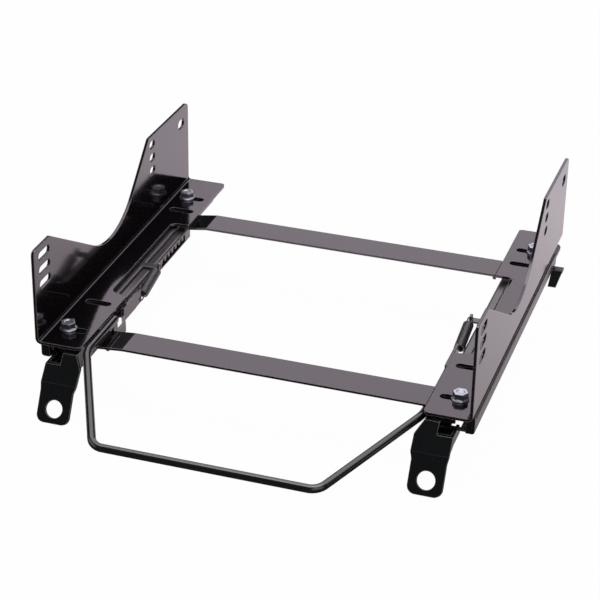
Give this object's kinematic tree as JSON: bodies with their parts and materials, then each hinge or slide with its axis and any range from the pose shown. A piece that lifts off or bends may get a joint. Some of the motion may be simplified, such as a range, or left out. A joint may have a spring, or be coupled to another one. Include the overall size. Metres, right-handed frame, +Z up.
{
  "type": "seat slide rail",
  "caption": "Seat slide rail with slotted side brackets on two ball slides, joined by cross bars, with a bent-rod release handle, toothed latches and folded floor feet.",
  "frame": {"origin": "middle of the overall box, at the lowest point of the front feet", "axes": "+X to the right-hand bracket, +Y to the rear, +Z up"},
  "size_m": [0.453, 0.548, 0.161],
  "materials": {
    "paint": "gloss black",
    "foot_paint": "satin black",
    "rod_paint": "gloss black",
    "zinc": "bright zinc plate",
    "bearing_steel": "polished",
    "spring_steel": "oiled"
  },
  "bodies": {
    "base": {"lower_rail_left": "paint", "lower_rail_right": "paint", "foot_front_left": "foot_paint", "foot_front_right": "foot_paint", "foot_rear_left": "foot_paint", "foot_rear_right": "foot_paint", "rivets": "foot_paint", "end_caps": "foot_paint"},
    "slider": {"bracket_left": "paint", "bracket_right": "paint", "crossbar_front": "paint", "crossbar_rear": "paint", "bolts": "zinc", "weld_nuts": "zinc", "upper_rail_left": "paint", "upper_rail_right": "paint", "pivot_left": "bearing_steel", "pivot_right": "bearing_steel"},
    "release": {"handle": "rod_paint", "lever_left": "paint", "lever_right": "paint"},
    "rolling_left": {"balls_left": "bearing_steel", "rollers_left": "bearing_steel"},
    "rolling_right": {"balls_right": "bearing_steel", "rollers_right": "bearing_steel"},
    "coil_left": {"spring_left": "spring_steel"},
    "coil_right": {"spring_right": "spring_steel"}
  },
  "joints": [
    {"name": "seat_slide", "type": "slide", "parent": "base", "child": "slider", "axis": [0, 1, 0], "range_m": [0, 0.16]},
    {"name": "release_turn", "type": "hinge", "parent": "slider", "child": "release", "pos_m": [0, -0.112, 0.0551], "axis": [1, 0, 0], "range_deg": [0, 2.9], "stiffness_Nm_per_rad": 1, "springref_deg": 17.19},
    {"name": "rolling_left_slide", "type": "slide", "parent": "base", "child": "rolling_left", "axis": [0, 1, 0], "range_m": [0, 0.08]},
    {"name": "rolling_right_slide", "type": "slide", "parent": "base", "child": "rolling_right", "axis": [0, 1, 0], "range_m": [0, 0.08]},
    {"name": "coil_left_swing", "type": "hinge", "parent": "slider", "child": "coil_left", "pos_m": [-0.1671, 0.0429, 0.0611], "axis": [-1, 0, 0], "range_deg": [0, 4.95]},
    {"name": "coil_right_swing", "type": "hinge", "parent": "slider", "child": "coil_right", "pos_m": [0.1671, 0.0429, 0.0611], "axis": [-1, 0, 0], "range_deg": [0, 4.95]}
  ],
  "couplings": [
    {"joint": "rolling_left_slide", "follows": "seat_slide", "ratio": 0.5},
    {"joint": "rolling_right_slide", "follows": "seat_slide", "ratio": 0.5},
    {"joint": "coil_left_swing", "follows": "release_turn", "ratio": 1.7034},
    {"joint": "coil_right_swing", "follows": "release_turn", "ratio": 1.7034}
  ]
}
